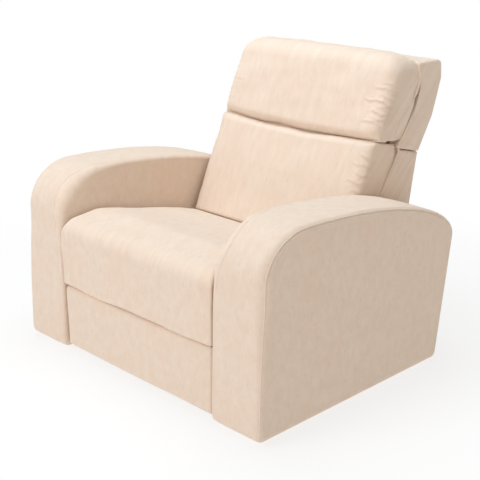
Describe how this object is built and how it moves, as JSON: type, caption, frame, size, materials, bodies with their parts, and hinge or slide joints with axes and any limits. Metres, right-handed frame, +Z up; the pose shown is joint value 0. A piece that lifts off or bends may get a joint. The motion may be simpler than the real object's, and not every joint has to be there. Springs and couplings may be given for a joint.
{
  "type": "power-free recliner armchair",
  "caption": "Wide fabric recliner with padded arched arms, crowned seat, reclining two-part back, tilting headrest and a fold-out footrest.",
  "frame": {"origin": "on the floor, centre of the chair's box seen from above", "axes": "+Z up, -Y towards the front, +X towards the sitter's left"},
  "size_m": [1.06, 0.9924, 0.9336],
  "materials": {
    "fabric_arms": "matt linen-look weave",
    "fabric_seat": "matt linen-look weave",
    "timber": "sawn softwood, unfinished",
    "dark_steel": "dark powder coat",
    "spring_steel": "bare spring wire",
    "nylon": "self-coloured nylon",
    "dark_plastic": "fine moulded grain"
  },
  "bodies": {
    "base": {"left_arm_frame": "timber", "right_arm_frame": "timber", "left_arm_band": "fabric_arms", "right_arm_band": "fabric_arms", "left_inner_panel": "fabric_arms", "right_inner_panel": "fabric_arms", "left_outer_panel": "fabric_arms", "right_outer_panel": "fabric_arms", "left_front_glide": "dark_plastic", "right_front_glide": "dark_plastic", "left_rear_glide": "dark_plastic", "right_rear_glide": "dark_plastic", "left_base_rail": "dark_steel", "right_base_rail": "dark_steel", "front_cross_member": "dark_steel", "rear_cross_member": "dark_steel", "latch_cup": "dark_plastic"},
    "lever": {"release_lever": "dark_plastic"},
    "seat": {"left_seat_plate": "dark_steel", "right_seat_plate": "dark_steel", "left_front_slide_block": "nylon", "right_front_slide_block": "nylon", "left_rear_slide_block": "nylon", "right_rear_slide_block": "nylon", "left_seat_board": "timber", "right_seat_board": "timber", "left_return_spring": "spring_steel", "right_return_spring": "spring_steel", "seat_front_board": "timber", "seat_rear_board": "timber", "seat_spring_1": "spring_steel", "seat_spring_2": "spring_steel", "seat_spring_3": "spring_steel", "seat_spring_4": "spring_steel", "seat_cushion": "fabric_seat"},
    "main_links": {"left_main_link": "dark_steel", "right_main_link": "dark_steel", "torque_tube": "dark_steel"},
    "left_rear_crank": {"left_rear_link": "dark_steel"},
    "right_rear_crank": {"right_rear_link": "dark_steel"},
    "carriers": {"left_carrier_link": "dark_steel", "right_carrier_link": "dark_steel", "carrier_rod": "dark_steel"},
    "left_toggle": {"left_toggle_link": "dark_steel"},
    "right_toggle": {"right_toggle_link": "dark_steel"},
    "footrest": {"left_footrest_bracket": "dark_steel", "right_footrest_bracket": "dark_steel", "footrest_board": "timber", "footrest_pad": "fabric_seat"},
    "back": {"left_back_bracket": "dark_steel", "right_back_bracket": "dark_steel", "back_board": "timber", "back_shell": "fabric_arms", "lumbar_cushion": "fabric_seat"},
    "headrest": {"left_headrest_hinge": "dark_steel", "right_headrest_hinge": "dark_steel", "headrest_shell": "fabric_arms", "headrest_board": "timber", "head_cushion": "fabric_seat"}
  },
  "joints": [
    {"name": "lever_pull", "type": "hinge", "parent": "base", "child": "lever", "pos_m": [-0.5215, -0.23249, 0.385], "axis": [0, 0, 1], "range_deg": [0, 30], "stiffness_Nm_per_rad": 0.3},
    {"name": "seat_glide", "type": "slide", "parent": "base", "child": "seat", "axis": [0, -1, 0], "range_m": [0, 0.0701]},
    {"name": "back_recline", "type": "hinge", "parent": "seat", "child": "back", "pos_m": [0, 0.15001, 0.27], "axis": [-1, 0, 0], "range_deg": [0, 30]},
    {"name": "headrest_tilt", "type": "hinge", "parent": "back", "child": "headrest", "pos_m": [0, 0.26101, 0.676], "axis": [1, 0, 0], "range_deg": [0, 25]},
    {"name": "footrest_extend", "type": "hinge", "parent": "seat", "child": "main_links", "pos_m": [0, -0.34499, 0.231], "axis": [-1, 0, 0], "range_deg": [0, 104], "deforming": ["left_return_spring", "right_return_spring"]},
    {"name": "left_rear_crank_turn", "type": "hinge", "parent": "seat", "child": "left_rear_crank", "pos_m": [0.311, -0.30602, 0.2085], "axis": [-1, 0, 0], "range_deg": [0, 104.1]},
    {"name": "right_rear_crank_turn", "type": "hinge", "parent": "seat", "child": "right_rear_crank", "pos_m": [-0.311, -0.30602, 0.2085], "axis": [-1, 0, 0], "range_deg": [0, 104.1]},
    {"name": "carrier_turn", "type": "hinge", "parent": "main_links", "child": "carriers", "pos_m": [0, -0.26852, 0.05925], "axis": [1, 0, 0], "range_deg": [0, 104.1]},
    {"name": "left_toggle_turn", "type": "hinge", "parent": "main_links", "child": "left_toggle", "pos_m": [0.311, -0.27958, 0.10287], "axis": [1, 0, 0], "range_deg": [0, 104.1]},
    {"name": "right_toggle_turn", "type": "hinge", "parent": "main_links", "child": "right_toggle", "pos_m": [-0.311, -0.27958, 0.10287], "axis": [1, 0, 0], "range_deg": [0, 104.1]},
    {"name": "footrest_turn", "type": "hinge", "parent": "carriers", "child": "footrest", "pos_m": [0, -0.40499, 0.165], "axis": [-1, 0, 0], "range_deg": [0, 104.1]}
  ],
  "couplings": [
    {"joint": "seat_glide", "follows": "back_recline", "m_per_rad": 0.13369},
    {"joint": "left_rear_crank_turn", "follows": "footrest_extend", "ratio": 1},
    {"joint": "right_rear_crank_turn", "follows": "footrest_extend", "ratio": 1},
    {"joint": "carrier_turn", "follows": "footrest_extend", "ratio": 1},
    {"joint": "left_toggle_turn", "follows": "footrest_extend", "ratio": 1},
    {"joint": "right_toggle_turn", "follows": "footrest_extend", "ratio": 1},
    {"joint": "footrest_turn", "follows": "footrest_extend", "ratio": 1}
  ]
}
